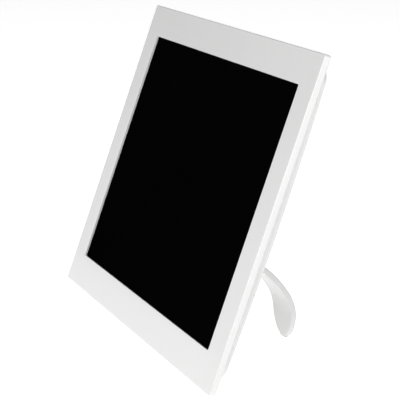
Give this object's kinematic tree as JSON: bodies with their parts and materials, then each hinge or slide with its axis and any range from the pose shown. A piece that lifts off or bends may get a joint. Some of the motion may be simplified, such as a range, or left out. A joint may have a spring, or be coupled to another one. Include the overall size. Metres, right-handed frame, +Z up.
{
  "type": "digital photo frame",
  "caption": "Glossy white landscape digital photo frame, leaning back on a curved swivelling rear leg, with a 4:3 display and rear keys.",
  "frame": {"origin": "centre of the standing frame's footprint box, on the surface it stands on", "axes": "+X along the frame's long side, to its right seen from the front; +Y backwards, towards the leg; +Z up"},
  "size_m": [0.25, 0.0886, 0.1915],
  "materials": {
    "white_gloss_shell": "high gloss moulded ABS",
    "white_rear_shell": "gloss moulded ABS",
    "white_stand": "gloss moulded ABS",
    "screen_glass": "black display glass with polariser, switched off",
    "panel_steel": "thin pressed stainless sheet",
    "white_moulding": "matte moulded polycarbonate",
    "diffuser_film": "frosted film",
    "clear_acrylic": "polished acrylic",
    "reflector_film": "white film",
    "led_board": "white solder mask",
    "led_package": "white package with yellow phosphor",
    "circuit_board": "green solder mask on glass-epoxy",
    "zinc_steel": "zinc plated sheet",
    "chip_black": "epoxy package",
    "capacitor_can": "drawn can",
    "ferrite": "sintered ferrite",
    "connector_black": "moulded nylon",
    "connector_steel": "stamped plated shell",
    "connector_ivory": "moulded nylon",
    "flex_film": "polyimide film",
    "ribbon_film": "flat ribbon",
    "switch_black": "moulded switch body",
    "plunger_nylon": "moulded plunger",
    "key_grey": "satin moulded key",
    "speaker_steel": "black painted basket",
    "speaker_paper": "pressed cone",
    "wire_sleeve": "thin sleeve",
    "screw_steel": "zinc plated",
    "spring_steel": "spring steel",
    "foot_rubber": "soft translucent rubber"
  },
  "bodies": {
    "frame_body": {"bracket_screws": "screw_steel", "capacitors": "capacitor_can", "card_socket": "connector_steel", "cover_screws": "screw_steel", "dc_jack": "connector_black", "diffuser_sheets": "diffuser_film", "display_bracket_bottom": "zinc_steel", "display_bracket_top": "zinc_steel", "flex_connector": "connector_ivory", "front_bezel": "white_gloss_shell", "key_board": "circuit_board", "key_board_screws": "screw_steel", "key_cable": "ribbon_film", "key_switches": "switch_black", "lcd_back_plate": "panel_steel", "lcd_driver_board": "circuit_board", "lcd_flex_cable": "flex_film", "lcd_glass": "screen_glass", "lcd_metal_frame": "panel_steel", "lcd_mould_frame": "white_moulding", "led_chips": "led_package", "led_strip": "led_board", "light_guide": "clear_acrylic", "main_board": "circuit_board", "main_board_screws": "screw_steel", "memory_chips": "chip_black", "power_inductor": "ferrite", "processor_chip": "chip_black", "rear_cover": "white_rear_shell", "reflector_sheet": "reflector_film", "speaker_basket": "speaker_steel", "speaker_cone": "speaker_paper", "speaker_leads": "wire_sleeve", "speaker_magnet": "ferrite", "usb_socket": "connector_steel"},
    "stand": {"stand_hub": "white_stand", "stand_leg": "white_stand", "stand_foot": "foot_rubber", "stand_spring_washer": "spring_steel", "stand_retainer": "spring_steel", "stand_screw": "screw_steel"},
    "key_power_body": {"key_power": "key_grey", "switch_plunger_power": "plunger_nylon"},
    "key_menu_body": {"key_menu": "key_grey", "switch_plunger_menu": "plunger_nylon"},
    "key_previous_body": {"key_previous": "key_grey", "switch_plunger_previous": "plunger_nylon"},
    "key_next_body": {"key_next": "key_grey", "switch_plunger_next": "plunger_nylon"},
    "key_select_body": {"key_select": "key_grey", "switch_plunger_select": "plunger_nylon"},
    "key_back_body": {"key_back": "key_grey", "switch_plunger_back": "plunger_nylon"}
  },
  "joints": [
    {"name": "stand_swivel", "type": "hinge", "parent": "frame_body", "child": "stand", "pos_m": [0.0463, -0.00273, 0.0696], "axis": [0, -0.9379, 0.3469], "range_deg": [0, 90]},
    {"name": "press_power", "type": "slide", "parent": "frame_body", "child": "key_power_body", "axis": [0, -0.9379, 0.3469], "range_m": [0, 0.0004], "stiffness_N_per_m": 2500},
    {"name": "press_menu", "type": "slide", "parent": "frame_body", "child": "key_menu_body", "axis": [0, -0.9379, 0.3469], "range_m": [0, 0.0004], "stiffness_N_per_m": 2500},
    {"name": "press_previous", "type": "slide", "parent": "frame_body", "child": "key_previous_body", "axis": [0, -0.9379, 0.3469], "range_m": [0, 0.0004], "stiffness_N_per_m": 2500},
    {"name": "press_next", "type": "slide", "parent": "frame_body", "child": "key_next_body", "axis": [0, -0.9379, 0.3469], "range_m": [0, 0.0004], "stiffness_N_per_m": 2500},
    {"name": "press_select", "type": "slide", "parent": "frame_body", "child": "key_select_body", "axis": [0, -0.9379, 0.3469], "range_m": [0, 0.0004], "stiffness_N_per_m": 2500},
    {"name": "press_back", "type": "slide", "parent": "frame_body", "child": "key_back_body", "axis": [0, -0.9379, 0.3469], "range_m": [0, 0.0004], "stiffness_N_per_m": 2500}
  ]
}
